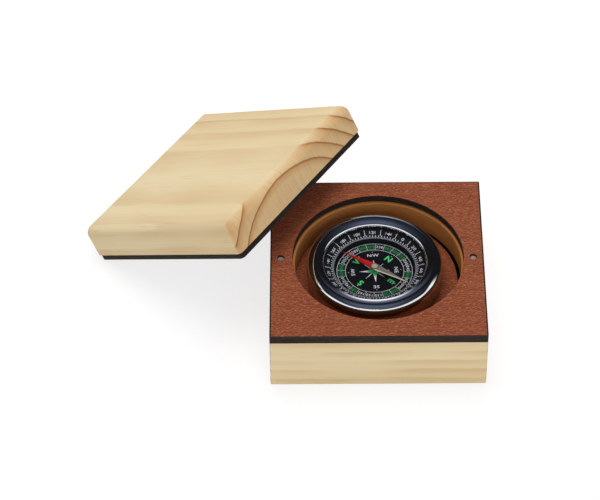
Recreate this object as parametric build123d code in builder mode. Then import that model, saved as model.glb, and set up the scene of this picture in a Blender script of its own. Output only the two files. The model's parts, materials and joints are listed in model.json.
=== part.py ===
from build123d import *
from math import asin, cos, degrees, radians, sin, sqrt
import os

# Qibla compass in a square pine box: base, magnetic lid, and a loose pocket compass.
# Millimetres, +Z up. The origin is the middle of the base's underside, on the table.
# +X is to the right and +Y away from the front face. The lid is off, leaning on the
# base: its left edge stands on the table and its underside meets a top corner of the base.

os.makedirs("parts", exist_ok=True)

# Compass shell and back
shell_radius = 28.6
shell_sheet = 0.6
shell_lip_width = 2.2
shell_foot_radius = 0.5
shell_shoulder_radius = 2.2
bezel_width = 7.0
bezel_lip = 1.15
bezel_lip_radius = 1.0
bezel_lip_angle = 25.0
bezel_crown_radius = 4.2
bezel_crown_angle = 5.0
bezel_shoulder_angle = 32.0
back_thickness = 0.6
inner_fit = 0.1

# Base moulding, card, scale ring and window, stacked on the back
dial_base_height = 3.45
dial_base_floor = 1.2
dial_thickness = 0.4
dial_hole_clearance = 0.3
ring_inner_rise = 2.0
ring_slope_rise = 1.8
ring_wall = 1.2
scale_width = 4.6
skirt_thickness = 1.5
crystal_thickness = 0.9
crystal_overlap = 1.8

# Pivot pin, bearing cup, cap and needle
pin_radius = 0.6
pin_fit = 0.02
pin_boss_wall = 2.0
pin_cone_length = 1.8
pin_tip_radius = 0.1
cup_clearance = 0.05
cup_depth = 0.8
cup_roof = 0.2
cup_wall = 0.45
cap_wall = 0.45
cap_flange = 0.5
cap_roof = 0.25
cap_foot_thickness = 0.35
cap_clearance = 0.2
needle_drop = 0.5
needle_thickness = 0.25
needle_hole_margin = 0.5
needle_end_gap = 0.4
needle_bearing = 146.3

# Pocket, the disc on its floor, and the compass's place in it
pocket_room = 6.65
pocket_ledge = 0.85
pocket_x = 0.5
pocket_y = 0.5
disc_left_gap = 0.1
disc_right_gap = 1.4
compass_shift_x = -1.4
compass_shift_y = 0.0
compass_rest_gap = 0.05
compass_headroom = 2.18

# Box
rim_width = 8.9
base_corner_radius = 0.5
base_wood_height = 26.0
base_foot_radius = 1.0
base_panel_thickness = 3.2
leather_thickness = 0.8
lid_wood_thickness = 14.5
lid_round_over = 4.4
lid_corner_radius = 2.0
lid_panel_thickness = 2.0
lid_panel_inset = 0.6

# Magnets
magnet_radius = 1.5
magnet_height = 2.0
magnet_clearance = 0.05

# Lid leaning on the base
lid_tilt = 30.3
lid_edge_direction = 55.9
lid_touch_shift = 10.9
lid_touch_gap = 0.5

# Heights in the compass, above its foot
back_top = shell_sheet + back_thickness
dial_bottom = back_top + dial_base_height
dial_top = dial_bottom + dial_thickness
ring_inner_height = dial_top + ring_inner_rise
crystal_bottom = ring_inner_height + ring_slope_rise
bezel_edge_height = crystal_bottom + crystal_thickness
bezel_lip_height = bezel_edge_height + bezel_lip
cap_top = crystal_bottom - cap_clearance
cup_top = cap_top - cap_roof
pin_tip_height = cup_top - cup_roof - cup_clearance
cup_bottom = pin_tip_height - cup_depth
needle_bottom = pin_tip_height - needle_drop
needle_top = needle_bottom + needle_thickness
cap_bottom = needle_bottom - cap_foot_thickness

# Radii in the compass
wall_inside = shell_radius - shell_sheet
stack_radius = wall_inside - inner_fit
bezel_inner_radius = shell_radius - bezel_width
ring_inner_radius = bezel_inner_radius - scale_width
pin_cone_slope = (pin_radius - pin_tip_radius) / pin_cone_length
cup_floor_radius = pin_tip_radius + cup_clearance
cup_mouth_radius = cup_floor_radius + cup_depth * pin_cone_slope
cup_radius = cup_mouth_radius + cup_wall
cap_neck_radius = cup_radius + cap_wall
cap_head_radius = cap_neck_radius + cap_flange
needle_half_width = cap_neck_radius + needle_hole_margin
needle_half_length = ring_inner_radius - needle_end_gap

# Bezel in section: an arc up from the lip, a rounder one over the crown, a tight one down to the side wall
lip_lean = radians(bezel_lip_angle)
crown_lean = radians(bezel_crown_angle)
shoulder_lean = radians(bezel_shoulder_angle)
shoulder_step = bezel_crown_radius - shell_shoulder_radius
shoulder_x = shell_radius - shell_shoulder_radius
crown_x = shoulder_x - shoulder_step * sin(shoulder_lean)
climb_width = crown_x - bezel_crown_radius * sin(crown_lean) - bezel_inner_radius
climb_radius = climb_width / (sin(lip_lean) - sin(crown_lean))
climb_rise = climb_radius * (cos(crown_lean) - cos(lip_lean))
bezel_crest_height = bezel_lip_height + climb_rise + bezel_crown_radius * (1 - cos(crown_lean))
crown_height = bezel_crest_height - bezel_crown_radius
shoulder_height = crown_height + shoulder_step * cos(shoulder_lean)
climb_x = crown_x + (climb_radius - bezel_crown_radius) * sin(crown_lean)
climb_height = crown_height - (climb_radius - bezel_crown_radius) * cos(crown_lean)
shoulder_sheet_radius = shell_shoulder_radius - shell_sheet
crown_sheet_radius = bezel_crown_radius - shell_sheet
climb_sheet_radius = climb_radius - shell_sheet
seat_radius = bezel_inner_radius + shell_sheet
seat_lean = asin((climb_x - seat_radius) / climb_sheet_radius)
seat_height = climb_height + climb_sheet_radius * cos(seat_lean)

# Heights and places in the box
pocket_radius = shell_radius + pocket_room
panel_hole_radius = pocket_radius + pocket_ledge
box_side = 2 * (panel_hole_radius + rim_width)
magnet_reach = panel_hole_radius + rim_width / 2
magnet_bore = magnet_radius + magnet_clearance
base_panel_top = base_wood_height + base_panel_thickness
base_top = base_panel_top + leather_thickness
compass_foot = base_top - compass_headroom - bezel_crest_height
disc_top = compass_foot - compass_rest_gap
pocket_floor = disc_top - base_panel_thickness - leather_thickness
disc_radius = pocket_radius - (disc_left_gap + disc_right_gap) / 2
disc_x = pocket_x - (disc_right_gap - disc_left_gap) / 2
compass_x = pocket_x + compass_shift_x
compass_y = pocket_y + compass_shift_y

compass_axis = Axis((compass_x, compass_y, 0), (0, 0, 1))
compass_section = Plane(origin=(compass_x, compass_y, compass_foot), x_dir=(1, 0, 0), z_dir=(0, -1, 0))


def compass_level(height):
    """Horizontal plane through the compass's axis, this far above its foot."""
    return Plane(origin=(compass_x, compass_y, compass_foot + height))


# Leaning lid: a frame at the middle of its underside
tilt = radians(lid_tilt)
edge_angle = radians(lid_edge_direction)
across = Vector(sin(edge_angle), -cos(edge_angle), 0)
along = Vector(cos(edge_angle), sin(edge_angle), 0)
up = Vector(0, 0, 1)
lid_rise = across * cos(tilt) + up * sin(tilt)
lid_normal = up * cos(tilt) - across * sin(tilt)
lid_panel_side = box_side - 2 * lid_panel_inset
lid_centre_height = lid_panel_side / 2 * sin(tilt)
corner_reach = box_side / 2 - base_corner_radius * (1 - 1 / sqrt(2))
touch_corner = Vector(-corner_reach, corner_reach, 0)
touch_reach = ((base_top - lid_centre_height) * cos(tilt) + lid_touch_gap) / sin(tilt)
lid_centre = touch_corner - across * touch_reach - along * lid_touch_shift + up * lid_centre_height
lid_plane = Plane(origin=lid_centre, x_dir=lid_rise, z_dir=lid_normal)
lid_axis = Axis(lid_centre, lid_normal)
lid_wood_level = leather_thickness + lid_panel_thickness


# Pine base with its round pocket
with BuildPart() as base_block:
    with BuildSketch(Plane.XY):
        Rectangle(box_side, box_side)
    extrude(amount=base_wood_height)
    fillet(base_block.faces().sort_by(Axis.Z)[0].edges(), base_foot_radius)
    fillet(base_block.edges().filter_by(Axis.Z), base_corner_radius)
    with BuildSketch(Plane.XY.offset(pocket_floor)):
        with Locations((pocket_x, pocket_y)):
            Circle(pocket_radius)
    extrude(amount=base_wood_height - pocket_floor, mode=Mode.SUBTRACT)
base_block.part.label = "base_block"
export_step(base_block.part, "parts/base_block.step")

# Board on the base: hole over the pocket and two blind holes for the magnets
with BuildPart() as base_panel:
    with BuildSketch(Plane.XY.offset(base_wood_height)):
        RectangleRounded(box_side, box_side, base_corner_radius)
        with Locations((pocket_x, pocket_y)):
            Circle(panel_hole_radius, mode=Mode.SUBTRACT)
    extrude(amount=base_panel_thickness)
    with BuildSketch(Plane.XY.offset(base_panel_top)):
        with Locations((-magnet_reach, 0), (magnet_reach, 0)):
            Circle(magnet_bore)
    extrude(amount=-magnet_height, mode=Mode.SUBTRACT)
base_panel.part.label = "base_panel"
export_step(base_panel.part, "parts/base_panel.step")

# Leatherette on that board
with BuildPart() as base_leather:
    with BuildSketch(Plane.XY.offset(base_panel_top)):
        RectangleRounded(box_side, box_side, base_corner_radius)
        with Locations((pocket_x, pocket_y)):
            Circle(panel_hole_radius, mode=Mode.SUBTRACT)
        with Locations((-magnet_reach, 0), (magnet_reach, 0)):
            Circle(magnet_bore, mode=Mode.SUBTRACT)
    extrude(amount=leather_thickness)
base_leather.part.label = "base_leather"
export_step(base_leather.part, "parts/base_leather.step")

# Magnets of the base, flush with the board and one leather thickness below its face
for name, reach in (("base_magnet_left", -magnet_reach), ("base_magnet_right", magnet_reach)):
    with BuildPart() as base_magnet:
        with BuildSketch(Plane.XY.offset(base_panel_top - magnet_height)):
            with Locations((reach, 0)):
                Circle(magnet_radius)
        extrude(amount=magnet_height)
    base_magnet.part.label = name
    export_step(base_magnet.part, f"parts/{name}.step")

# Plug of the board that lies on the pocket's floor
with BuildPart() as floor_disc:
    with BuildSketch(Plane.XY.offset(pocket_floor)):
        with Locations((disc_x, pocket_y)):
            Circle(disc_radius)
    extrude(amount=base_panel_thickness)
floor_disc.part.label = "floor_disc"
export_step(floor_disc.part, "parts/floor_disc.step")

# Leatherette on that plug
with BuildPart() as floor_leather:
    with BuildSketch(Plane.XY.offset(pocket_floor + base_panel_thickness)):
        with Locations((disc_x, pocket_y)):
            Circle(disc_radius)
    extrude(amount=leather_thickness)
floor_leather.part.label = "floor_leather"
export_step(floor_leather.part, "parts/floor_leather.step")

# Leatherette under the lid, with openings at the magnets
with BuildPart() as lid_leather:
    with BuildSketch(lid_plane):
        RectangleRounded(lid_panel_side, lid_panel_side, lid_corner_radius)
        with Locations((0, -magnet_reach), (0, magnet_reach)):
            Circle(magnet_bore, mode=Mode.SUBTRACT)
    extrude(amount=leather_thickness)
lid_leather.part.label = "lid_leather"
export_step(lid_leather.part, "parts/lid_leather.step")

# Board under the lid, drilled through for the magnets
with BuildPart() as lid_panel:
    with BuildSketch(lid_plane.offset(leather_thickness)):
        RectangleRounded(lid_panel_side, lid_panel_side, lid_corner_radius)
        with Locations((0, -magnet_reach), (0, magnet_reach)):
            Circle(magnet_bore, mode=Mode.SUBTRACT)
    extrude(amount=lid_panel_thickness)
lid_panel.part.label = "lid_panel"
export_step(lid_panel.part, "parts/lid_panel.step")

# Pine lid: top edges rounded over, upright edges eased
with BuildPart() as lid_block:
    with BuildSketch(lid_plane.offset(lid_wood_level)):
        Rectangle(box_side, box_side)
    extrude(amount=lid_wood_thickness)
    fillet(lid_block.faces().sort_by(lid_axis)[-1].edges(), lid_round_over)
    fillet(lid_block.edges().filter_by(lid_axis), lid_corner_radius)
    with BuildSketch(lid_plane.offset(lid_wood_level)):
        with Locations((0, -magnet_reach), (0, magnet_reach)):
            Circle(magnet_bore)
    extrude(amount=magnet_height - lid_panel_thickness + magnet_clearance, mode=Mode.SUBTRACT)
lid_block.part.label = "lid_block"
export_step(lid_block.part, "parts/lid_block.step")

# Magnets of the lid, one leather thickness above its underside
for name, reach in (("lid_magnet_front", -magnet_reach), ("lid_magnet_back", magnet_reach)):
    with BuildPart() as lid_magnet:
        with BuildSketch(lid_plane.offset(leather_thickness)):
            with Locations((0, reach)):
                Circle(magnet_radius)
        extrude(amount=magnet_height)
    lid_magnet.part.label = name
    export_step(lid_magnet.part, f"parts/{name}.step")

# Chromed shell: rolled lip below, side wall, crowned bezel and the lip over the window
lip_edge_radius = shell_radius - shell_lip_width
crown_start = 90 - bezel_shoulder_angle
crown_sweep = bezel_shoulder_angle + bezel_crown_angle
climb_start = 90 + bezel_crown_angle
climb_sweep = bezel_lip_angle - bezel_crown_angle
seat_sweep = degrees(seat_lean) - bezel_crown_angle
with BuildPart() as compass_shell:
    with BuildSketch(compass_section):
        with BuildLine():
            CenterArc((shoulder_x, shoulder_height), shell_shoulder_radius, 0, crown_start)
            CenterArc((shoulder_x, shoulder_height), shoulder_sheet_radius, 0, crown_start)
            CenterArc((crown_x, crown_height), bezel_crown_radius, crown_start, crown_sweep)
            CenterArc((crown_x, crown_height), crown_sheet_radius, crown_start, crown_sweep)
            CenterArc((climb_x, climb_height), climb_radius, climb_start, climb_sweep)
            CenterArc((climb_x, climb_height), climb_sheet_radius, climb_start, seat_sweep)
            Polyline(
                (shell_radius, shoulder_height),
                (shell_radius, 0),
                (lip_edge_radius, 0),
                (lip_edge_radius, shell_sheet),
                (wall_inside, shell_sheet),
                (wall_inside, shoulder_height),
            )
            Polyline(
                (bezel_inner_radius, bezel_lip_height),
                (bezel_inner_radius, bezel_edge_height),
                (seat_radius, bezel_edge_height),
                (seat_radius, seat_height),
            )
        make_face()
    revolve(axis=compass_axis)
    rims = compass_shell.edges().filter_by(GeomType.CIRCLE).group_by(SortBy.RADIUS)
    fillet(rims[-1].sort_by(Axis.Z)[0], shell_foot_radius)
    rims = compass_shell.edges().filter_by(GeomType.CIRCLE)
    lip_rims = rims.filter_by(lambda rim: abs(rim.radius - bezel_inner_radius) < 0.001)
    fillet(lip_rims.sort_by(Axis.Z)[-1], bezel_lip_radius)
compass_shell.part.label = "compass_shell"
export_step(compass_shell.part, "parts/compass_shell.step")

# Back, lying on the shell's rolled lip
with BuildPart() as back_plate:
    with BuildSketch(compass_level(shell_sheet)):
        Circle(stack_radius)
    extrude(amount=back_thickness)
back_plate.part.label = "back_plate"
export_step(back_plate.part, "parts/back_plate.step")

# Base moulding: floor under the card, outer skirt, and a boss drilled for the pin
boss_radius = pin_radius + pin_boss_wall
skirt_inside = stack_radius - skirt_thickness
with BuildPart() as dial_base:
    with BuildSketch(compass_section):
        with BuildLine():
            Polyline(
                (0, back_top),
                (boss_radius, back_top),
                (boss_radius, dial_bottom - dial_base_floor),
                (skirt_inside, dial_bottom - dial_base_floor),
                (skirt_inside, back_top),
                (stack_radius, back_top),
                (stack_radius, dial_bottom),
                (0, dial_bottom),
                close=True,
            )
        make_face()
    revolve(axis=compass_axis)
    with BuildSketch(compass_level(back_top)):
        Circle(pin_radius + pin_fit)
    extrude(amount=dial_base_height, mode=Mode.SUBTRACT)
dial_base.part.label = "dial_base"
export_step(dial_base.part, "parts/dial_base.step")

# Printed card, with a hole that the pin passes through
with BuildPart() as dial_plate:
    with BuildSketch(compass_level(dial_bottom)):
        Circle(stack_radius)
        Circle(pin_radius + dial_hole_clearance, mode=Mode.SUBTRACT)
    extrude(amount=dial_thickness)
dial_plate.part.label = "dial_plate"
export_step(dial_plate.part, "parts/dial_plate.step")

# Sloping scale ring: inner wall, sloping face, window seat and outer skirt
with BuildPart() as degree_ring:
    with BuildSketch(compass_section):
        with BuildLine():
            Polyline(
                (ring_inner_radius, dial_top),
                (ring_inner_radius, ring_inner_height),
                (bezel_inner_radius, crystal_bottom),
                (bezel_inner_radius + crystal_overlap, crystal_bottom),
                (stack_radius, shoulder_height - inner_fit),
                (stack_radius, dial_top),
                (skirt_inside, dial_top),
                (skirt_inside, crystal_bottom - ring_wall),
                (bezel_inner_radius, crystal_bottom - ring_wall),
                (ring_inner_radius + ring_wall, ring_inner_height - ring_wall / 2),
                (ring_inner_radius + ring_wall, dial_top),
                close=True,
            )
        make_face()
    revolve(axis=compass_axis)
degree_ring.part.label = "degree_ring"
export_step(degree_ring.part, "parts/degree_ring.step")

# Clear window, on the ring's seat and under the bezel's lip
with BuildPart() as crystal:
    with BuildSketch(compass_level(crystal_bottom)):
        Circle(bezel_inner_radius + crystal_overlap)
    extrude(amount=crystal_thickness)
crystal.part.label = "crystal"
export_step(crystal.part, "parts/crystal.step")

# Pointed pin, standing on the back in the moulding's boss
with BuildPart() as pivot_pin:
    with BuildSketch(compass_section):
        with BuildLine():
            Polyline(
                (0, back_top),
                (pin_radius, back_top),
                (pin_radius, pin_tip_height - pin_cone_length),
                (pin_tip_radius, pin_tip_height),
                (0, pin_tip_height),
                close=True,
            )
        make_face()
    revolve(axis=compass_axis)
pivot_pin.part.label = "pivot_pin"
export_step(pivot_pin.part, "parts/pivot_pin.step")

# Bearing cup: its cone follows the pin's with a running clearance
cup_floor = pin_tip_height + cup_clearance
with BuildPart() as cap_jewel:
    with BuildSketch(compass_section):
        with BuildLine():
            Polyline(
                (cup_mouth_radius, cup_bottom),
                (cup_radius, cup_bottom),
                (cup_radius, cup_top),
                (0, cup_top),
                (0, cup_floor),
                (cup_floor_radius, cup_floor),
                close=True,
            )
        make_face()
    revolve(axis=compass_axis)
cap_jewel.part.label = "cap_jewel"
export_step(cap_jewel.part, "parts/cap_jewel.step")

# Round cap: foot clenched under the needle, neck through it, domed head over it
with BuildPart() as needle_cap:
    with BuildSketch(compass_section):
        with BuildLine():
            Polyline(
                (0, cap_top),
                (0, cup_top),
                (cup_radius, cup_top),
                (cup_radius, cap_bottom),
                (cap_head_radius, cap_bottom),
                (cap_head_radius, needle_bottom),
                (cap_neck_radius, needle_bottom),
                (cap_neck_radius, needle_top),
                (cap_head_radius, needle_top),
            )
            TangentArc((0, cap_top), (cap_head_radius, needle_top), tangent=(1, 0))
        make_face()
    revolve(axis=compass_axis)
needle_cap.part.label = "needle_cap"
export_step(needle_cap.part, "parts/needle_cap.step")

# Lozenge needle, turned to its bearing from +X, with a hole for the cap's neck
needle_plane = compass_level(needle_bottom).rotated((0, 0, needle_bearing))
with BuildPart() as needle:
    with BuildSketch(needle_plane):
        with BuildLine():
            Polyline(
                (needle_half_length, 0),
                (0, needle_half_width),
                (-needle_half_length, 0),
                (0, -needle_half_width),
                close=True,
            )
        make_face()
        Circle(cap_neck_radius, mode=Mode.SUBTRACT)
    extrude(amount=needle_thickness)
needle.part.label = "needle"
export_step(needle.part, "parts/needle.step")
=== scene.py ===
# %% [markdown]
# A qibla compass: a chromed pocket compass that lies loose in the round pocket of a small pine box. The box
# has a base and a lid, each faced with brown leatherette on a dark board, and magnets hold them together.
# Here the lid is off and leans on the base. The exact solids come from the packed model, already in place and
# in metres. This lesson gives them their finishes, prints the dial, and sets up the light and the camera.

# %% Load the solids
import json
from math import atan2, cos, hypot, pi, radians, sin

import bmesh
import bpy
from mathutils import Matrix, Vector

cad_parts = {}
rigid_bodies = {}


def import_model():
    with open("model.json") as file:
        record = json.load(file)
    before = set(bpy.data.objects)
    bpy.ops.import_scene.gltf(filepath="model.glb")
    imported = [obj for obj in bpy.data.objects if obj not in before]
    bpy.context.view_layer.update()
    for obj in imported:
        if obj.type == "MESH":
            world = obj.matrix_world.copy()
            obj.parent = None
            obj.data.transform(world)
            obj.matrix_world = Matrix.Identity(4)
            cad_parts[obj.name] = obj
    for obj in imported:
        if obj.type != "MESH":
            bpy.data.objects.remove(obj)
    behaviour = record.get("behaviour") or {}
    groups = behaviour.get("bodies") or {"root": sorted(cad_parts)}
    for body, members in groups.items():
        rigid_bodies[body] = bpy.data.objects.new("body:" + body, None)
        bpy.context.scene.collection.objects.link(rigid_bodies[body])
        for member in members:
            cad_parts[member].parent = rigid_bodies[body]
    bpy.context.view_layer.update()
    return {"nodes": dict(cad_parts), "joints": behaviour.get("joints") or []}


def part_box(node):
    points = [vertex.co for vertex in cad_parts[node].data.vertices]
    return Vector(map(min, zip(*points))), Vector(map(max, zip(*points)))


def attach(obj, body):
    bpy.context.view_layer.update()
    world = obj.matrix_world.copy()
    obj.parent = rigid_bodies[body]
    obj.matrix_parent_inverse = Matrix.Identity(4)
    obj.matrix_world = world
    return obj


for leftover in list(bpy.data.objects):
    bpy.data.objects.remove(leftover)
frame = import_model()
nodes = frame["nodes"]

# %% [markdown]
# Places are worked out from the solids and from their joints wherever a box or an axis gives them, so the
# looks follow the model. Radii that no box shows are written as numbers where they are needed. The compass
# turns about an upright axis. The lid has a frame of its own: one direction climbs its slope, one runs level
# along the edge that it stands on, and one points out of its top.

# %% Places taken from the solids
MM = 0.001


def middle_of(name):
    low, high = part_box(name)
    return (low + high) / 2


joints = {joint["name"]: joint for joint in frame["joints"]}
compass_axis = Vector(joints["compass_turn"]["pos_m"])
dial_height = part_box("dial_plate")[1].z
window_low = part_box("crystal")[0].z
shell_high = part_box("compass_shell")[1].z
needle_low, needle_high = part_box("needle")
base_wood_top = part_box("base_block")[1].z
disc_low, disc_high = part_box("floor_leather")
box_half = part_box("base_block")[1].x
magnet_reach = middle_of("base_magnet_right").x

lid_out = Vector(joints["lid_turn"]["axis"])
lid_rise = (Vector((0, 0, 1)) - lid_out * lid_out.z).normalized()
lid_level = lid_out.cross(lid_rise)
lid_middle = Vector(joints["lid_turn"]["pos_m"]) + lid_level * magnet_reach
lid_turn = Matrix((lid_rise, lid_level, lid_out)).transposed().to_euler()
print("dial at", round(dial_height / MM, 2), "mm; lid's middle at", [round(x / MM, 1) for x in lid_middle])

# %% [markdown]
# A finish is a small network of nodes, and much of it is arithmetic: how far is this point from the tree's
# heart, is it past the edge. Written out node by node, such sums are hard to read. So one class wraps a
# socket and lets Python's own signs make the Math nodes. Every other kind of node comes from its one method.


# %% Node sums written as Python
class Strand:
    """One socket of a node tree, which can be used in a sum."""

    def __init__(self, tree, socket=None):
        self.tree = tree
        self.socket = socket

    def node(self, kind, settings=None, sockets=None, out=0):
        made = self.tree.nodes.new(kind)
        for name, value in (settings or {}).items():
            setattr(made, name, value)
        for name, value in (sockets or {}).items():
            if isinstance(value, Strand):
                self.tree.links.new(value.socket, made.inputs[name])
            else:
                made.inputs[name].default_value = value
        return Strand(self.tree, made.outputs[out])

    def sum(self, operation, first, second=0.0):
        return self.node("ShaderNodeMath", {"operation": operation}, {0: first, 1: second})

    def __add__(self, other):
        return self.sum("ADD", self, other)

    def __sub__(self, other):
        return self.sum("SUBTRACT", self, other)

    def __rsub__(self, other):
        return self.sum("SUBTRACT", other, self)

    def __mul__(self, other):
        return self.sum("MULTIPLY", self, other)

    def __truediv__(self, other):
        return self.sum("DIVIDE", self, other)

    def __pow__(self, other):
        return self.sum("POWER", self, other)

    def __gt__(self, other):
        return self.sum("GREATER_THAN", self, other)

    def __lt__(self, other):
        return self.sum("LESS_THAN", self, other)

    __radd__ = __add__
    __rmul__ = __mul__

    def fraction(self):
        return self.sum("FRACT", self)

    def size(self):
        return self.sum("ABSOLUTE", self)

    def most(self, other):
        return self.sum("MAXIMUM", self, other)

    def far_from(self, x, other, y):
        """Distance in the plane of two strands from the point x, y."""
        return ((self - x) * (self - x) + (other - y) * (other - y)) ** 0.5

    def step(self, low, high):
        """0 below low, 1 above high and a smooth rise between them."""
        sockets = {"Value": self, "From Min": low, "From Max": high}
        return self.node("ShaderNodeMapRange", {"interpolation_type": "SMOOTHSTEP"}, sockets)

    def along(self, direction):
        """How far a vector points along a direction, whichever way round."""
        settings = {"operation": "DOT_PRODUCT"}
        return self.node("ShaderNodeVectorMath", settings, {0: self, 1: direction}, out="Value").size()

    def axes(self):
        return [self.node("ShaderNodeSeparateXYZ", sockets={0: self}, out=axis) for axis in "XYZ"]

    def vector(self, x, y, z):
        return self.node("ShaderNodeCombineXYZ", sockets={"X": x, "Y": y, "Z": z})

    def blend(self, factor, first, second):
        return self.node("ShaderNodeMix", {"data_type": "RGBA"}, {0: factor, 6: first, 7: second}, out=2)

    def noise(self, place, scale, detail=2.0, roughness=0.5):
        sockets = {"Vector": place, "Scale": scale, "Detail": detail, "Roughness": roughness}
        return self.node("ShaderNodeTexNoise", sockets=sockets)

    def bump(self, height, distance, strength=1.0):
        sockets = {"Height": height, "Distance": distance, "Strength": strength}
        return self.node("ShaderNodeBump", sockets=sockets)

    def is_ray(self, kind):
        """1 for rays of one kind: Camera, Glossy, Transmission and so on."""
        return self.node("ShaderNodeLightPath", out=f"Is {kind} Ray")


print("sums ready:", [name for name in vars(Strand) if not name.startswith("_")])

# %% [markdown]
# Colours are easiest to compare with a picture as the 0 to 255 values that a screen shows, while the shaders
# work in linear light. One function turns the first into the second. Another starts a material and returns a
# free strand, and a third sets the main shader: a plain value goes on the socket, a strand is linked to it.


# %% Colours and new materials
def tint(red, green, blue):
    shown = [value / 255 for value in (red, green, blue)]
    linear = [v / 12.92 if v <= 0.04045 else ((v + 0.055) / 1.055) ** 2.4 for v in shown]
    return (*linear, 1.0)


def new_finish(name):
    finish = bpy.data.materials.new(name)
    finish.use_nodes = True
    return finish, Strand(finish.node_tree)


def set_shader(finish, values):
    shader = finish.node_tree.nodes["Principled BSDF"]
    for name, value in values.items():
        if isinstance(value, Strand):
            finish.node_tree.links.new(value.socket, shader.inputs[name])
        else:
            shader.inputs[name].default_value = value
    return finish


def own_place(strand, origin=(0, 0, 0), turn=(0, 0, 0)):
    """The point being shaded, measured from an origin and along turned axes, in metres."""
    here = strand.node("ShaderNodeTexCoord", out="Object")
    sockets = {"Vector": here, "Location": origin, "Rotation": turn}
    return strand.node("ShaderNodeMapping", {"vector_type": "TEXTURE"}, sockets)


print("a mid grey of 128 is", round(tint(128, 128, 128)[0], 3), "in linear light")

# %% [markdown]
# Pine is a stack of cones round the heart of the tree, one a year: pale spring wood that turns amber, ends in
# a thin brown line and stops sharply. If the colour follows the distance from the heart, every face of the
# block shows the right cut by itself: long streaks along the grain, arches on the end. A little noise bends
# the rings, and long thin noise makes the fibres. On a planed side the year's lines are faint, and most show
# in a belt of outer years. The sawn end, where the surface faces along the grain, drinks more finish: there
# the lines are strong, and the wood between them is darker too. The core of the tree shows no lines.

# %% Pine
PALE_WOOD = tint(238, 221, 181)
WARM_WOOD = tint(230, 206, 161)
FIBRE_BROWN = tint(210, 178, 128)
STREAK_BROWN = tint(204, 158, 102)
END_WOOD = tint(210, 172, 122)
SAWN_BROWN = tint(186, 138, 84)
AMBER = tint(182, 126, 68)
YEAR_LINE = tint(134, 82, 40)
FLECK_BROWN = tint(176, 130, 82)
core_edge = (43 * MM, 44.5 * MM)
belt_start = (54 * MM, 70 * MM)
belt_end = (100 * MM, 110 * MM)


def pine(name, origin, turn, grain, heart, ring_width, first_ring, shade):
    finish, strand = new_finish(name)
    along, across, up = own_place(strand, origin, turn).axes()
    heart_across, heart_up = heart
    drift = strand.noise(strand.vector(along * 11, across * 18, up * 18), 1.0)
    ripple = strand.noise(strand.vector(along * 60, across * 260, up * 260), 1.0, 3.0)
    radius = (across + drift * (7 * MM)).far_from(heart_across + 3.5 * MM, up, heart_up)
    years = radius / ring_width + first_ring + (ripple - 0.5) * 0.12
    year = years.fraction()
    soft = year.step(0.2, 0.8) * (1 - year.step(0.82, 1.0))
    sharp = year ** 2.4 * (1 - year.step(0.97, 1.0))
    line = year.step(0.8, 0.94) * (1 - year.step(0.96, 1.0))
    strength = strand.noise(strand.vector(years - year, along * 14, 0.5), 1.7, 0.0).step(0.3, 0.68)
    fibre = strand.noise(strand.vector(along * 16, across * 800, up * 800), 1.0, 3.0, 0.6)
    fleck = strand.noise(strand.vector(along * 60, across * 1300, up * 1300), 1.0, 1.0).step(0.7, 0.78)
    cloud = strand.noise(strand.vector(along * 7, across * 45, up * 45), 1.0, 2.0)
    sawn = strand.noise(strand.vector(along * 30, across * 1100, up * 90), 1.0, 2.0, 0.6)
    end = strand.node("ShaderNodeTexCoord", out="Normal").along(grain).step(0.1, 0.95)
    grown = radius.step(*core_edge)
    belt = radius.step(*belt_start) * (1 - radius.step(*belt_end))
    line_depth = strength * 0.06 + belt * 0.18 + end * (0.24 + strength * 0.36)

    wood = strand.blend(cloud.step(0.25, 0.75), PALE_WOOD, WARM_WOOD)
    wood = strand.blend(fibre.step(0.4, 0.8) * 0.22, wood, FIBRE_BROWN)
    wood = strand.blend(soft * (1 - end) * (0.05 + strength * 0.28), wood, STREAK_BROWN)
    wood = strand.blend(end * 0.75, wood, END_WOOD)
    wood = strand.blend(sawn.step(0.4, 0.75) * end * 0.28, wood, SAWN_BROWN)
    wood = strand.blend(sharp * grown * end * (0.66 + strength * 0.3), wood, AMBER)
    wood = strand.blend(line * grown * line_depth, wood, YEAR_LINE)
    wood = strand.blend(fleck * 0.22, wood, FLECK_BROWN)
    wood = shade(strand, wood, along, across, up)
    return set_shader(finish, {
        "Base Color": wood,
        "Roughness": 0.52 + fibre * 0.16,
        "Specular IOR Level": 0.3,
        "Normal": strand.bump(fibre * 0.6 + line * end * 0.5, 0.05 * MM, 0.5),
    })


pocket_middle = (0.5 * MM, 0.5 * MM)
panel_hole = 36.1 * MM
PALE_STAIN = tint(196, 136, 76)
WARM_STAIN = tint(176, 112, 54)
# Painted shade for the pocket's front wall, which lies in shadow.
POCKET_FRONT_SHADE = tint(92, 50, 26)
# Painted shade for the narrow gap round the loose disc.
GAP_SHADE = tint(16, 11, 8)
shaded_front = (-24 * MM, 6 * MM)


def stained_pocket(strand, wood, x, y, z):
    """The routed pocket is stained brown. Its front is darkened as painted shade, and below the top of the
    loose disc it is painted black as shade.
    """
    inside = x.far_from(pocket_middle[0], y, pocket_middle[1]) < panel_hole + 0.1 * MM
    streak = strand.noise(strand.vector(x * 90, y * 90, z * 700), 1.0)
    stain = strand.blend(streak, PALE_STAIN, WARM_STAIN)
    # Painted shade: the pocket wall darkens towards the front of the box.
    stain = strand.blend(1 - y.step(*shaded_front), stain, POCKET_FRONT_SHADE)
    wood = strand.blend(inside, wood, stain)
    # Painted shade: black in the narrow gap below the top of the loose disc.
    deep = inside * (1 - z.step(disc_high.z - 0.4 * MM, disc_high.z + 0.2 * MM))
    return strand.blend(deep, wood, GAP_SHADE)


def as_it_is(strand, colour, x, y, z):
    return colour


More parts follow.
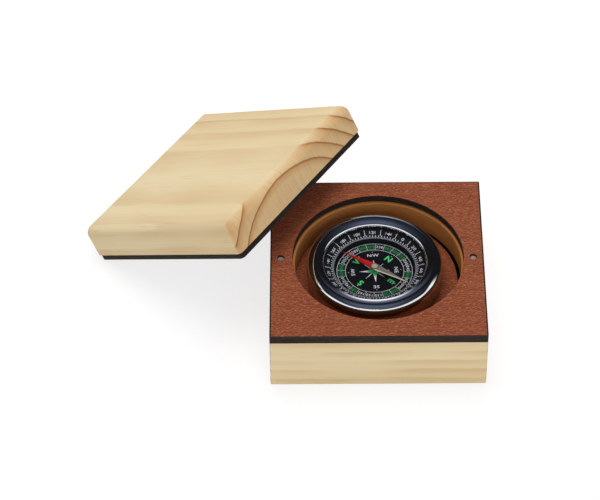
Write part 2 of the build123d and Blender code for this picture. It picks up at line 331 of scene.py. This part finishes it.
box_frame = ((0, 0, 0), (0, 0, 0))
lid_frame = (lid_middle, lid_turn)
base_grain = (1, 0, 0)
base_heart = (12 * MM, -150 * MM)
base_ring = 5.2 * MM
lid_heart = (-8 * MM, -32.2 * MM)
lid_ring = 6.4 * MM
base_first, lid_first = 0.35, 0.62
base_pine = pine("base_pine", *box_frame, base_grain, base_heart, base_ring, base_first, stained_pocket)
lid_pine = pine("lid_pine", *lid_frame, lid_rise, lid_heart, lid_ring, lid_first, as_it_is)
print("pine for the base and the lid")

# %% [markdown]
# The leatherette is a thin brown sheet pressed with fine wrinkles that run mostly one way. They are a wave
# across the sheet, which one noise bends and another breaks here and there. The wave drives the bump, and it
# also paints light into the colour: a painted highlight on the ridges and painted shade in the creases. The
# sheet's cut edge is as dark as the board under it, which the cutting has charred. The edge is found by
# distance: from the square outline with its round corners, and from the round holes. The lid's lining is
# darkened as painted shade, for the shadow under the lid.

# %% Leatherette and board
HIDE = (135, 72, 46)
WARM_HIDE = (130, 67, 41)
# Painted highlight for the wrinkle ridges, and painted shade for the creases.
RIDGE_HIGHLIGHT = (178, 105, 75)
CREASE_SHADE = (100, 46, 25)
CUT_EDGE = tint(40, 31, 27)
wrinkles_per_metre = 815
wrinkle_bend = 19
charred_rim = 0.3 * MM
charred_side = 0.6 * MM
cut_skin = 0.06 * MM
base_corner = 0.5 * MM
lid_corner = 2.0 * MM
lid_step = 0.6 * MM
magnet_hole = 1.55 * MM
lid_leather_half = box_half - lid_step
# Painted shade: the lid's lining is darkened for its underside, which lies in shadow.
lining_shade = 0.6
disc_middle = middle_of("floor_leather")
disc_radius = (disc_high.x - disc_low.x) / 2


def past_square(x, y, half_side, corner, margin):
    """1 within a margin of a rounded square's edge, and beyond it."""
    over_x = (x.size() - (half_side - corner)).most(0.0)
    over_y = (y.size() - (half_side - corner)).most(0.0)
    return over_x.far_from(0.0, over_y, 0.0) > corner - margin


def from_base_magnet(x, y):
    return x.size().far_from(magnet_reach, y, 0.0)


def from_lid_magnet(x, y):
    return x.far_from(0.0, y.size(), magnet_reach)


def cut_of_base(x, y):
    hole = x.far_from(pocket_middle[0], y, pocket_middle[1]) < panel_hole + cut_skin
    magnet = from_base_magnet(x, y) < magnet_hole + cut_skin
    side = x.size() > box_half - charred_side
    return past_square(x, y, box_half, base_corner, charred_rim).most(side).most(hole).most(magnet)


def cut_of_disc(x, y):
    return x.far_from(disc_middle.x, y, disc_middle.y) > disc_radius - cut_skin


def cut_of_lid(x, y):
    magnet = from_lid_magnet(x, y) < magnet_hole + cut_skin
    return past_square(x, y, lid_leather_half, lid_corner, charred_rim).most(magnet)


def leatherette(name, origin, turn, cut, shade_factor=1.0):
    # A factor below 1 darkens the whole sheet as painted shade.
    def hide_tint(colour):
        return tint(*[value * shade_factor for value in colour])

    finish, strand = new_finish(name)
    place = own_place(strand, origin, turn)
    x, y, z = place.axes()
    sway = strand.noise(strand.vector(x * 470, y * 610, z), 1.0, 1.0)
    wave = y * (2 * pi * wrinkles_per_metre) + sway * wrinkle_bend
    wrinkle = strand.sum("SINE", wave) * 0.5 + 0.5
    broken = strand.noise(strand.vector(x * 640, y * 1000, z), 1.0).step(0.36, 0.6)
    pore = strand.noise(place, 2600.0, 1.0)
    ridge = wrinkle.step(0.5, 0.95) * (0.3 + broken * 0.7)
    crease = 1 - wrinkle.step(0.05, 0.5)
    patch = strand.noise(place, 60.0)
    hide = strand.blend(patch.step(0.3, 0.7), hide_tint(HIDE), hide_tint(WARM_HIDE))
    # The ridges get a painted highlight, and the creases painted shade.
    hide = strand.blend(ridge * 0.68, hide, hide_tint(RIDGE_HIGHLIGHT))
    hide = strand.blend(crease * 0.26, hide, hide_tint(CREASE_SHADE))
    edge = cut(x, y)
    return set_shader(finish, {
        "Base Color": strand.blend(edge, hide, CUT_EDGE),
        "Roughness": 0.5 + pore * 0.16 - ridge * 0.08 + edge * 0.2,
        "Specular IOR Level": 0.3,
        "Normal": strand.bump(ridge - crease + pore * 0.25, 0.06 * MM, 0.4),
    })


def board(name, origin, turn, shade):
    finish, strand = new_finish(name)
    x, y, z = own_place(strand, origin, turn).axes()
    layer = strand.noise(strand.vector(x * 300, y * 300, z * 2200), 1.0, 3.0, 0.6)
    burnt = strand.blend(layer.step(0.35, 0.75), tint(26, 20, 17), tint(56, 45, 38))
    return set_shader(finish, {
        "Base Color": shade(strand, burnt, x, y, z),
        "Roughness": 0.7 + layer * 0.2,
        "Specular IOR Level": 0.25,
        "Normal": strand.bump(layer, 0.08 * MM, 0.6),
    })


stained_layer = 0.75 * MM


def stained_hole(strand, burnt, x, y, z):
    """The lowest layer round the hole has taken the pocket's stain."""
    low = z < base_wood_top + stained_layer
    inside = x.far_from(pocket_middle[0], y, pocket_middle[1]) < panel_hole + cut_skin
    return strand.blend(inside * low, burnt, tint(150, 104, 60))


base_hide = leatherette("base_leatherette", *box_frame, cut_of_base)
disc_hide = leatherette("disc_leatherette", *box_frame, cut_of_disc)
lid_hide = leatherette("lid_leatherette", *lid_frame, cut_of_lid, lining_shade)
base_board = board("base_board", *box_frame, stained_hole)
lid_board = board("lid_board", *lid_frame, as_it_is)
print("leatherette on", [hide.name for hide in (base_hide, disc_hide, lid_hide)])

# %% [markdown]
# The metals: bright chrome on the drawn shell, scuffed nickel on the magnets, steel for the pin and back, and
# a small turned cap. None is perfectly even. Chrome has a faint haze where fingers touch it. On the side wall
# it is rougher, and its colour is darkened as painted shade for the shadowed pocket that it mirrors. The
# magnets are worn, and each carries a ring of painted shade at its rim, where it sits sunk in its hole. The
# cap has fine rings and a darker rim. The window is almost fully transparent.

# %% Metals and window
# Radii of the painted shade ring at each magnet's rim.
magnet_shade_rim = (1.05 * MM, 1.35 * MM)
cap_rim = (1.2 * MM, 1.4 * MM)
wall_top = shell_high - 3.6 * MM
shoulder_low = shell_high - 2.7 * MM


def metal(name, colour, dark, metallic, roughness, spread, scale):
    finish, strand = new_finish(name)
    scuff = strand.noise(own_place(strand), scale, 3.0, 0.6)
    return set_shader(finish, {
        "Base Color": strand.blend(scuff.step(0.35, 0.75), colour, dark),
        "Metallic": metallic,
        "Roughness": roughness + scuff * spread,
    })


def worn_nickel(name, origin, turn, from_magnet):
    """Scuffed grey, with painted shade as a dark ring at the rim, where the magnet sits sunk in its hole."""
    finish, strand = new_finish(name)
    place = own_place(strand, origin, turn)
    x, y, z = place.axes()
    scuff = strand.noise(place, 1600.0, 3.0, 0.6)
    grey = strand.blend(scuff.step(0.35, 0.75), tint(190, 172, 160), tint(140, 122, 112))
    rim = from_magnet(x, y).step(*magnet_shade_rim)
    return set_shader(finish, {
        # Painted shade: a dark ring at the rim, where the magnet sits sunk in its hole.
        "Base Color": strand.blend(rim * 0.75, grey, tint(58, 48, 43)),
        "Metallic": 0.3,
        "Roughness": 0.4 + scuff * 0.2,
    })


def plated_shell():
    """Bright on the bezel and its shoulder. Below them the drawn side wall is rougher, and its colour is
    darkened as painted shade.
    """
    finish, strand = new_finish("chrome")
    place = own_place(strand)
    x, y, z = place.axes()
    haze = strand.noise(place, 90.0, 3.0, 0.6)
    side = 1 - z.step(wall_top, shoulder_low)
    bright = strand.blend(haze.step(0.35, 0.75), tint(240, 242, 246), tint(228, 230, 236))
    return set_shader(finish, {
        # Painted shade: the side wall's colour is darkened, for the shadowed pocket that it mirrors.
        "Base Color": strand.blend(side, bright, tint(168, 150, 138)),
        "Metallic": 1.0,
        "Roughness": 0.03 + haze * 0.05 + side * 0.12,
    })


def turned_cap():
    finish, strand = new_finish("turned_cap")
    x, y, z = own_place(strand, (compass_axis.x, compass_axis.y, 0)).axes()
    radius = x.far_from(0.0, y, 0.0)
    ring = strand.noise(strand.vector(radius * 5200, z * 3000, 0), 1.0, 1.0)
    knob = strand.blend(ring.step(0.3, 0.7), tint(206, 198, 190), tint(170, 160, 150))
    return set_shader(finish, {
        "Base Color": strand.blend(radius.step(*cap_rim), knob, tint(112, 92, 76)),
        "Metallic": 0.3,
        "Roughness": 0.3 + ring * 0.15,
        "Normal": strand.bump(ring, 0.02 * MM, 0.3),
    })


def clear_window():
    finish, strand = new_finish("clear_window")
    haze = strand.noise(own_place(strand), 45.0)
    return set_shader(finish, {
        "Base Color": (0.02, 0.022, 0.025, 1.0),
        "Roughness": 0.04 + haze * 0.03,
        "Alpha": 0.03 + haze * 0.02,
        "IOR": 1.49,
    })


chrome = plated_shell()
base_nickel = worn_nickel("base_nickel", *box_frame, from_base_magnet)
lid_nickel = worn_nickel("lid_nickel", *lid_frame, from_lid_magnet)
steel = metal("plain_steel", tint(176, 176, 178), tint(140, 140, 142), 1.0, 0.25, 0.2, 700.0)
bearing = metal("bearing_cup", tint(205, 196, 196), tint(180, 168, 168), 0.8, 0.1, 0.1, 900.0)
cap_metal = turned_cap()
window = clear_window()
print("metals:", [m.name for m in (chrome, base_nickel, lid_nickel, steel, bearing, cap_metal)])

# %% [markdown]
# Black parts and paint. The moulded ring and the card are not a dead black: a fine mottle and a soft sheen
# keep them looking like plastic and print. The needle is one sheet of steel, lacquered red on its pointing
# half. The red is darker towards the point. Beyond the middle line it is darkened further, as painted shade
# on the needle's far half. On the plain tail one long edge carries a painted highlight, a pale cream band.


# %% Black moulding, card, needle and inks
def black(name, colour, lift, roughness):
    finish, strand = new_finish(name)
    mottle = strand.noise(own_place(strand), 1500.0)
    return set_shader(finish, {
        "Base Color": strand.blend(mottle, colour, lift),
        "Roughness": roughness + mottle * 0.12,
        "Specular IOR Level": 0.3,
        "Normal": strand.bump(mottle, 0.01 * MM, 0.4),
    })


def ink(name, colour, worn):
    finish, strand = new_finish(name)
    wear = strand.noise(own_place(strand), 900.0)
    return set_shader(finish, {
        "Base Color": strand.blend(wear.step(0.4, 0.8) * 0.6, colour, worn),
        "Roughness": 0.45 + wear * 0.15,
        "Specular IOR Level": 0.3,
    })


needle_bearing = radians(146.3)
needle_half_length = hypot(needle_high.x - needle_low.x, needle_high.y - needle_low.y) / 2
needle_half_width = 1.77 * MM
# Width of the painted highlight along one edge of the tail.
tail_highlight = 0.38 * MM
dark_point = (4 * MM, 16 * MM)
middle_line = 0.15 * MM


def needle_paint():
    finish, strand = new_finish("needle_paint")
    x, y, z = own_place(strand, (compass_axis.x, compass_axis.y, 0), (0, 0, needle_bearing)).axes()
    brush = strand.noise(strand.vector(x * 200, y * 3000, z), 1.0)
    red = strand.blend(brush, tint(206, 24, 32), tint(172, 16, 24))
    red = strand.blend(x.step(*dark_point) * 0.6, red, tint(112, 10, 16))
    # Painted shade: the red beyond the middle line, on the needle's far half, is darker.
    red = strand.blend((y > middle_line) * 0.55, red, tint(128, 8, 14))
    tail = strand.blend(brush, tint(142, 133, 127), tint(106, 98, 93))
    half_width = (1 - x.size() / needle_half_length) * needle_half_width
    # Painted highlight: a pale cream band along one long edge of the tail.
    tail = strand.blend(y - half_width > -tail_highlight, tail, tint(236, 230, 212))
    return set_shader(finish, {
        "Base Color": strand.blend(x.step(-0.02 * MM, 0.02 * MM), tail, red),
        "Roughness": 0.35 + brush * 0.1,
        "Metallic": (x < 0.0) * 0.2,
    })


black_ring = black("black_moulding", tint(10, 11, 16), tint(19, 20, 26), 0.42)
black_card = black("black_card", tint(9, 10, 14), tint(16, 17, 22), 0.5)
red_needle = needle_paint()
white_ink = ink("white_ink", tint(236, 239, 245), tint(206, 210, 220))
grey_ink = ink("grey_ink", tint(176, 181, 196), tint(142, 147, 162))
green_ink = ink("green_ink", tint(8, 72, 38), tint(6, 58, 31))
bright_green_ink = ink("bright_green_ink", tint(78, 216, 124), tint(60, 188, 100))
pale_green_ink = ink("pale_green_ink", tint(72, 146, 100), tint(54, 122, 80))
print("needle", round(2 * needle_half_length / MM, 1), "mm long")

# %% [markdown]
# The solids keep their shapes, so dressing them is only a matter of giving each its finish.

# %% Give the solids their finishes
finishes = {
    base_pine: ["base_block"],
    lid_pine: ["lid_block"],
    base_board: ["base_panel", "floor_disc"],
    lid_board: ["lid_panel"],
    base_hide: ["base_leather"],
    disc_hide: ["floor_leather"],
    lid_hide: ["lid_leather"],
    base_nickel: ["base_magnet_left", "base_magnet_right"],
    lid_nickel: ["lid_magnet_front", "lid_magnet_back"],
    chrome: ["compass_shell"],
    steel: ["back_plate", "pivot_pin"],
    window: ["crystal"],
    black_ring: ["degree_ring", "dial_base"],
    black_card: ["dial_plate"],
    red_needle: ["needle"],
    cap_metal: ["needle_cap"],
    bearing: ["cap_jewel"],
}
for finish, names in finishes.items():
    for name in names:
        nodes[name].material_slots[0].material = finish
print(sum(len(names) for names in finishes.values()), "solids dressed")

# %% [markdown]
# The dial is printed, so its marks are flat shapes that lie a hair above the card or above the ring's slope.
# A bearing on the dial is counted clockwise from its own north, which is turned away from the box's back
# edge. The printing isn't quite true: the letters and the rose are turned a little on from the boxes, and the
# scale a little back. Two functions give the place of a mark: a matrix whose second axis points away from the
# middle, up the slope if there is one, so that letters stand with their tops outwards.

# %% Places on the dial
dial_north = 39.5
letter_turn = 1.5
scale_turn = -1.2
print_lift = 0.02 * MM
under_print = dial_height + print_lift
over_print = dial_height + 2 * print_lift
scale_inner = 17.0 * MM
scale_outer = 21.6 * MM
scale_inner_height = dial_height + 2.0 * MM
scale_climb = (window_low - scale_inner_height) / (scale_outer - scale_inner)
scale_slope = atan2(window_low - scale_inner_height, scale_outer - scale_inner)


def heading(bearing):
    """Angle from +X, counted anticlockwise, of a bearing on the dial."""
    return radians(90 - dial_north - bearing)


def turned_to(bearing, height, radius):
    middle = Matrix.Translation((compass_axis.x, compass_axis.y, height))
    turn = Matrix.Rotation(heading(bearing) - pi / 2, 4, "Z")
    return middle @ turn @ Matrix.Translation((0, radius, 0))


def on_card(bearing, radius, height=under_print):
    return turned_to(bearing, height, radius)


def on_slope(bearing, radius):
    height = scale_inner_height + (radius - scale_inner) * scale_climb + print_lift
    return turned_to(bearing, height, radius) @ Matrix.Rotation(scale_slope, 4, "X")


print("scale climbs at", round(scale_slope * 180 / pi, 1), "degrees")

# %% [markdown]
# Ticks, box dividers and the dots beside the letters all repeat round a circle, which is work for Geometry
# Nodes. One tree serves them all: it puts points on a circle, lays a small flat bar on each, turns the bar to
# point at the middle and tips it up the slope. Its sizes are named inputs. The result is then made a plain
# mesh, because instances don't survive an export. The scale has a fine grey tick every two degrees, a white
# one above every second of them, and a long one halfway between two numbers.


# %% A ring of marks
def ring_tree():
    tree = bpy.data.node_groups.new("ring_of_marks", "GeometryNodeTree")
    kinds = {
        "Count": "NodeSocketInt",
        "Radius": "NodeSocketFloat",
        "Length": "NodeSocketFloat",
        "Width": "NodeSocketFloat",
        "Slope": "NodeSocketFloat",
        "Start": "NodeSocketFloat",
        "Middle": "NodeSocketVector",
        "Ink": "NodeSocketMaterial",
    }
    for name, kind in kinds.items():
        tree.interface.new_socket(name, in_out="INPUT", socket_type=kind)
    tree.interface.new_socket("Marks", in_out="OUTPUT", socket_type="NodeSocketGeometry")
    strand = Strand(tree)
    given = tree.nodes.new("NodeGroupInput")
    chosen = {name: Strand(tree, given.outputs[name]) for name in kinds}
    circle_sockets = {"Vertices": chosen["Count"], "Radius": chosen["Radius"]}
    circle = strand.node("GeometryNodeMeshCircle", sockets=circle_sockets)
    bar_sizes = {"Size X": chosen["Length"], "Size Y": chosen["Width"], "Vertices X": 2, "Vertices Y": 2}
    bar = strand.node("GeometryNodeMeshGrid", sockets=bar_sizes)
    here = strand.node("GeometryNodeInputPosition")
    outward_settings = {"axis": "X", "pivot_axis": "Z"}
    outward = strand.node("FunctionNodeAlignRotationToVector", outward_settings, {"Vector": here})
    tip_angles = strand.vector(0.0, chosen["Slope"] * -1, 0.0)
    tip = strand.node("FunctionNodeEulerToRotation", sockets={0: tip_angles})
    tipped_sockets = {"Rotation": outward, "Rotate By": tip}
    tipped = strand.node("FunctionNodeRotateRotation", {"rotation_space": "LOCAL"}, tipped_sockets)
    laid_sockets = {"Points": circle, "Instance": bar, "Rotation": tipped}
    laid = strand.node("GeometryNodeInstanceOnPoints", sockets=laid_sockets)
    plain = strand.node("GeometryNodeRealizeInstances", sockets={0: laid})
    turn_angles = strand.vector(0.0, 0.0, chosen["Start"])
    turn = strand.node("FunctionNodeEulerToRotation", sockets={0: turn_angles})
    placed_sockets = {"Geometry": plain, "Translation": chosen["Middle"], "Rotation": turn}
    placed = strand.node("GeometryNodeTransform", sockets=placed_sockets)
    inked = strand.node("GeometryNodeSetMaterial", sockets={"Geometry": placed, "Material": chosen["Ink"]})
    out = tree.nodes.new("NodeGroupOutput")
    tree.links.new(inked.socket, out.inputs["Marks"])
    return tree


def add_piece(name, mesh):
    piece = bpy.data.objects.new(name, mesh)
    bpy.context.scene.collection.objects.link(piece)
    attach(piece, "compass")
    return piece


def plain_mesh(thing):
    """The shape that a modifier or a text makes, as a mesh of its own."""
    bpy.context.view_layer.update()
    return bpy.data.meshes.new_from_object(thing.evaluated_get(bpy.context.evaluated_depsgraph_get()))


def ring_of_marks(name, values):
    maker = bpy.data.objects.new(name, bpy.data.meshes.new(name))
    bpy.context.scene.collection.objects.link(maker)
    modifier = maker.modifiers.new("marks", "NODES")
    modifier.node_group = marks_tree
    for item in marks_tree.interface.items_tree:
        if item.in_out == "INPUT":
            modifier[item.identifier] = values[item.name]
    mesh = plain_mesh(maker)
    bpy.data.objects.remove(maker)
    return add_piece(name, mesh)


def scale_marks(name, count, first, inner, outer, width, colour):
    middle = (inner + outer) / 2
    return ring_of_marks(name, {
        "Count": count,
        "Radius": middle,
        "Length": (outer - inner) / cos(scale_slope),
        "Width": width,
        "Slope": scale_slope,
        "Start": heading(first),
        "Middle": (compass_axis.x, compass_axis.y, on_slope(0, middle).translation.z),
        "Ink": colour,
    })


def card_marks(name, count, first, inner, outer, width, colour):
    return ring_of_marks(name, {
        "Count": count,
        "Radius": (inner + outer) / 2,
        "Length": outer - inner,
        "Width": width,
        "Slope": 0.0,
        "Start": heading(first),
        "Middle": (compass_axis.x, compass_axis.y, over_print),
        "Ink": colour,
    })


fine_low, fine_high = 17.25 * MM, 17.95 * MM
tall_high = 18.6 * MM
long_low, long_high = 18.5 * MM, 21.05 * MM
fine_width = 0.23 * MM
long_width = 0.19 * MM
first_long = 10 + scale_turn
marks_tree = ring_tree()
fine_ticks = scale_marks("fine_ticks", 180, scale_turn, fine_low, fine_high, fine_width, grey_ink)
tall_ticks = scale_marks("tall_ticks", 90, scale_turn, fine_high, tall_high, fine_width, white_ink)
long_ticks = scale_marks("long_ticks", 18, first_long, long_low, long_high, long_width, white_ink)
print("ticks:", [len(ticks.data.polygons) for ticks in (fine_ticks, tall_ticks, long_ticks)])

# %% [markdown]
# Numbers and letters are text, filled by the font and made a mesh at once, then carried to their place on the
# dial. Each kind of word is joined in one mesh, since it is one pass of the printing plate. The scale has a
# number every twenty degrees, and a white dot stands outside the letters of each of the eight directions.

# %% Words on the dial
word_spacing = 1.13
curve_steps = 3


def word_mesh(word, height, weight, stretch):
    curve = bpy.data.curves.new("word", "FONT")
    curve.body = word
    curve.align_x = "CENTER"
    curve.offset = weight
    curve.space_character = word_spacing
    curve.resolution_u = curve_steps
    holder = bpy.data.objects.new("word", curve)
    bpy.context.scene.collection.objects.link(holder)
    mesh = plain_mesh(holder)
    bpy.data.objects.remove(holder)
    bpy.data.curves.remove(curve)
    tops = [vertex.co.y for vertex in mesh.vertices]
    mesh.transform(Matrix.Translation((0, -(max(tops) + min(tops)) / 2, 0)))
    scale = height / (max(tops) - min(tops))
    mesh.transform(Matrix.Diagonal((scale * stretch, scale, scale, 1)))
    return mesh


def print_words(name, colour, words, stretch=1.0):
    """Prints a list of word, height, weight and place as one mesh, in letters that can be drawn wide."""
    plate = bmesh.new()
    for word, height, weight, place in words:
        mesh = word_mesh(word, height, weight, stretch)
        mesh.transform(place)
        plate.from_mesh(mesh)
        bpy.data.meshes.remove(mesh)
    return add_plate(name, colour, plate)


def add_plate(name, colour, plate):
    mesh = bpy.data.meshes.new(name)
    plate.to_mesh(mesh)
    plate.free()
    mesh.materials.append(colour)
    return add_piece(name, mesh)


plain_weight, bold_weight = 0.0, 0.03
number_height = 1.3 * MM
number_radius = 19.8 * MM
number_stretch = 1.4
letter_radius = 9.2 * MM
main_height = 3.05 * MM
half_height = 1.6 * MM
half_stretch = 1.15
dot_low, dot_high = 10.95 * MM, 11.25 * MM
dot_width = 0.3 * MM

degrees = []
for b in range(0, 360, 20):
    degrees.append((str(b), number_height, plain_weight, on_slope(b + scale_turn, number_radius)))
print_words("scale_numbers", white_ink, degrees, number_stretch)
main_points = []
for i, point in enumerate(("N", "E", "S", "W")):
    main_points.append((point, main_height, bold_weight, on_card(letter_turn + 90 * i, letter_radius)))
print_words("main_letters", bright_green_ink, main_points)
half_points = []
for i, point in enumerate(("NE", "SE", "SW", "NW")):
    half_points.append((point, half_height, plain_weight, on_card(letter_turn + 45 + 90 * i, letter_radius)))
print_words("half_letters", white_ink, half_points, half_stretch)
card_marks("letter_dots", 8, letter_turn, dot_low, dot_high, dot_width, white_ink)
print("words:", len(degrees) + len(main_points) + len(half_points))

# %% [markdown]
# Between two thin white circles lies a ring of small boxes, some green and some black, divided by white lines
# and numbered with their own bearing, in white on black and in pale green on green. A circle line is a flat
# ring, a box is a sector of one, so one function draws both from straight steps that are short enough to look
# round. The dividers are a ring of marks.

# %% Ring of boxes
box_inner = 12.4 * MM
box_outer = 16.0 * MM
box_colours = "GGBBGBBGGBBBGBBGGBBBGGBG"
box_step = 360 / len(box_colours)
box_middle = (box_inner + box_outer) / 2
box_gap = 1.0
box_margin = 0.3 * MM
line_half = 0.075 * MM
divider_width = 0.13 * MM
circle_steps = 180
box_steps = 6


def print_sectors(name, colour, sectors, height):
    """Prints flat sectors, each an inner and outer radius, a first and last bearing and a count of steps."""
    plate = bmesh.new()
    middle = Vector((compass_axis.x, compass_axis.y, height))
    for inner, outer, first, last, steps in sectors:
        edges = []
        for i in range(steps + 1):
            angle = heading(first + (last - first) * i / steps)
            spoke = Vector((cos(angle), sin(angle), 0))
            edges.append((plate.verts.new(middle + spoke * inner), plate.verts.new(middle + spoke * outer)))
        for (inner_a, outer_a), (inner_b, outer_b) in zip(edges, edges[1:]):
            plate.faces.new((inner_b, outer_b, outer_a, inner_a))
    bmesh.ops.remove_doubles(plate, verts=plate.verts, dist=0.001 * MM)
    return add_plate(name, colour, plate)


circles = [(r - line_half, r + line_half, 0, 360, circle_steps) for r in (box_inner, box_outer)]
print_sectors("box_circles", white_ink, circles, over_print)
green = [i * box_step for i, colour in enumerate(box_colours) if colour == "G"]
reach = box_step / 2 - box_gap
fill_inner, fill_outer = box_inner + box_margin, box_outer - box_margin
fills = [(fill_inner, fill_outer, b - reach, b + reach, box_steps) for b in green]
print_sectors("box_fills", green_ink, fills, under_print)
first_divider = box_step / 2
card_marks("box_dividers", len(box_colours), first_divider, box_inner, box_outer, divider_width, white_ink)
bearings = [round(i * box_step) for i in range(len(box_colours))]
numbers = [(f"{b:03d}", number_height, plain_weight, on_card(b, box_middle, over_print)) for b in bearings]
on_black = [number for number, colour in zip(numbers, box_colours) if colour == "B"]
on_green = [number for number, colour in zip(numbers, box_colours) if colour == "G"]
print_words("box_numbers", white_ink, on_black)
print_words("green_box_numbers", pale_green_ink, on_green)
print(len(fills), "green boxes of", len(box_colours))

# %% [markdown]
# The rose in the middle has eight slim rays, broad between the main letters and thin towards them. The rays
# are white, and a smaller green star of the same shape covers their roots.


# %% Rose
def star(name, colour, points, height):
    """A star from the middle out: points are pairs of bearing and radius, in order round the dial."""
    plate = bmesh.new()
    middle = Vector((compass_axis.x, compass_axis.y, height))
    heart = plate.verts.new(middle)
    rim = []
    for bearing, radius in points:
        angle = heading(bearing + letter_turn)
        rim.append(plate.verts.new(middle + Vector((cos(angle), sin(angle), 0)) * radius))
    for a, b in zip(rim, rim[1:] + rim[:1]):
        plate.faces.new((heart, b, a))
    return add_plate(name, colour, plate)


root_turn = 12


def star_points(main, half, root):
    """Tips of the thin and the broad rays, with the roots between them close to the thin ones."""
    points = []
    for turn in range(0, 360, 90):
        points += [(turn, main), (turn + root_turn, root), (turn + 45, half), (turn + 90 - root_turn, root)]
    return points


ray_points = star_points(6.0 * MM, 6.5 * MM, 1.45 * MM)
heart_points = star_points(3.0 * MM, 3.6 * MM, 1.6 * MM)
rose_rays = star("rose_rays", white_ink, ray_points, under_print)
rose_heart = star("rose_heart", bright_green_ink, heart_points, over_print)
print("rose:", [len(part.data.polygons) for part in (rose_rays, rose_heart)], "triangles")

# %% [markdown]
# The stage is a plain white floor. Matt white alone would photograph as a pale grey, so to the camera, and in
# mirrors and through glass, the floor gives a light of its own and only part of what falls on it: it reads as
# white paper, and the object's shadow on it stays, soft and pale.

# %% Floor
BLACK = (0, 0, 0, 1)
WHITE = (1, 1, 1, 1)
PAPER = (0.85, 0.85, 0.85, 1.0)
PALE_PAPER = (0.87, 0.87, 0.87, 1.0)
SEEN_PAPER = (0.25, 0.25, 0.25, 1.0)
floor_glow = 0.78


def floor_finish():
    finish, strand = new_finish("white_floor")
    seen = strand.is_ray("Camera").most(strand.is_ray("Glossy")).most(strand.is_ray("Transmission"))
    grain = strand.noise(own_place(strand), 40.0)
    paper = strand.blend(grain, PAPER, PALE_PAPER)
    return set_shader(finish, {
        "Base Color": strand.blend(seen, paper, SEEN_PAPER),
        "Roughness": 0.9,
        "Specular IOR Level": 0.0,
        "Emission Color": strand.blend(seen, BLACK, WHITE),
        "Emission Strength": floor_glow,
    })


floor_half = 3.0
floor_drop = -0.02 * MM
floor_mesh = bpy.data.meshes.new("floor")
corners = [(x * floor_half, y * floor_half, floor_drop) for x, y in ((-1, -1), (1, -1), (1, 1), (-1, 1))]
floor_mesh.from_pydata(corners, [], [(0, 1, 2, 3)])
floor_mesh.materials.append(floor_finish())
floor = bpy.data.objects.new("floor", floor_mesh)
bpy.context.scene.collection.objects.link(floor)
print("floor", 2 * floor_half, "m wide")

# %% [markdown]
# The world is the room. Matt surfaces get an even fill from it, and the camera sees white. Polished metal
# mirrors the studio itself. Behind the object stands a blue-grey backdrop with a white strip along its foot.
# A white panel fills the front below the camera and reaches round the sides at middle height. Above it the
# front is a dim blue-grey, the ceiling is dim with a paler patch overhead, and the rest is dark. The lamps
# are large and soft, and kept out of reflections.

# %% World and lamps
FILL = (0.4, 0.4, 0.4, 1)
CEILING = (0.04, 0.05, 0.072, 1)
OVERHEAD = (0.085, 0.102, 0.148, 1)
FRONT = (0.066, 0.08, 0.115, 1)
BACKDROP = (0.116, 0.135, 0.2, 1)
SIDES = (0.009, 0.009, 0.011, 1)
world = bpy.data.worlds.new("studio")
bpy.context.scene.world = world
world.use_nodes = True
room = Strand(world.node_tree)
side, depth, height = room.node("ShaderNodeTexCoord", out="Generated").axes()
nearness = depth * -1
ahead = nearness.step(0.05, 0.3)
behind = depth.step(0.5, 0.7) * (1 - side.size().step(0.06, 0.26))
around = (1 - depth.step(0.3, 0.5)) * height.step(0.4, 0.44)
central = (1 - side.size().step(0.12, 0.42)) * (1 - nearness.step(0.12, 0.36))
studio = room.blend(height.step(0.75, 0.98), SIDES, CEILING)
studio = room.blend(ahead, studio, FRONT)
studio = room.blend(height.step(0.9, 0.975) * central, studio, OVERHEAD)
studio = room.blend(ahead.most(around) * (1 - height.step(0.7, 0.78)), studio, WHITE)
studio = room.blend(behind * (1 - height.step(0.46, 0.7)), studio, BACKDROP)
studio = room.blend(behind * (1 - height.step(0.24, 0.44)), studio, WHITE)
shade = room.blend(room.is_ray("Glossy"), FILL, studio)
shade = room.blend(room.is_ray("Camera").most(room.is_ray("Transmission")), shade, WHITE)
world.node_tree.links.new(shade.socket, world.node_tree.nodes["Background"].inputs["Color"])


def soft_lamp(name, place, size, watts):
    data = bpy.data.lights.new(name, "AREA")
    data.shape = "SQUARE"
    data.size = size
    data.energy = watts
    lamp = bpy.data.objects.new(name, data)
    bpy.context.scene.collection.objects.link(lamp)
    lamp.location = place
    lamp.rotation_euler = Vector(place).to_track_quat("Z", "Y").to_euler()
    lamp.visible_glossy = False
    return lamp


key = soft_lamp("overhead_key", (-0.1, 0.35, 1.25), 0.9, 10.8)
front = soft_lamp("front_fill", (0.4, -1.35, 0.7), 1.0, 6.5)
print("lamps:", key.name, front.name)

# %% [markdown]
# The camera stands about a metre and a fifth away with a long lens, so the box's sides hardly converge. Its
# place was solved from the box's own edges: how far it is turned, tipped down and rolled, and the point of
# the table that it looks at.

# %% Camera
image_width = 600
focal_pixels = 2725.3
camera_yaw = radians(0.7297)
camera_pitch = radians(46.008)
camera_roll = radians(-0.9151)
camera_aim = Vector((-32.814, 33.516, 0.0)) * MM
camera_distance = 1193.63 * MM

back = Vector((sin(camera_yaw) * cos(camera_pitch), -cos(camera_yaw) * cos(camera_pitch), sin(camera_pitch)))
level = Vector((cos(camera_yaw), sin(camera_yaw), 0))
upright = back.cross(level)
right = level * cos(camera_roll) + upright * sin(camera_roll)
up = upright * cos(camera_roll) - level * sin(camera_roll)
camera_data = bpy.data.cameras.new("camera")
camera_data.sensor_width = 36.0
camera_data.lens = focal_pixels / image_width * camera_data.sensor_width
camera_data.clip_start = 0.05
camera = bpy.data.objects.new("camera", camera_data)
bpy.context.scene.collection.objects.link(camera)
turn = Matrix((right, up, back)).transposed().to_4x4()
camera.matrix_world = Matrix.Translation(camera_aim + back * camera_distance) @ turn
bpy.context.scene.camera = camera
bpy.context.scene.view_settings.view_transform = "Standard"
print("lens", round(camera_data.lens, 1), "mm")

# %% [markdown]
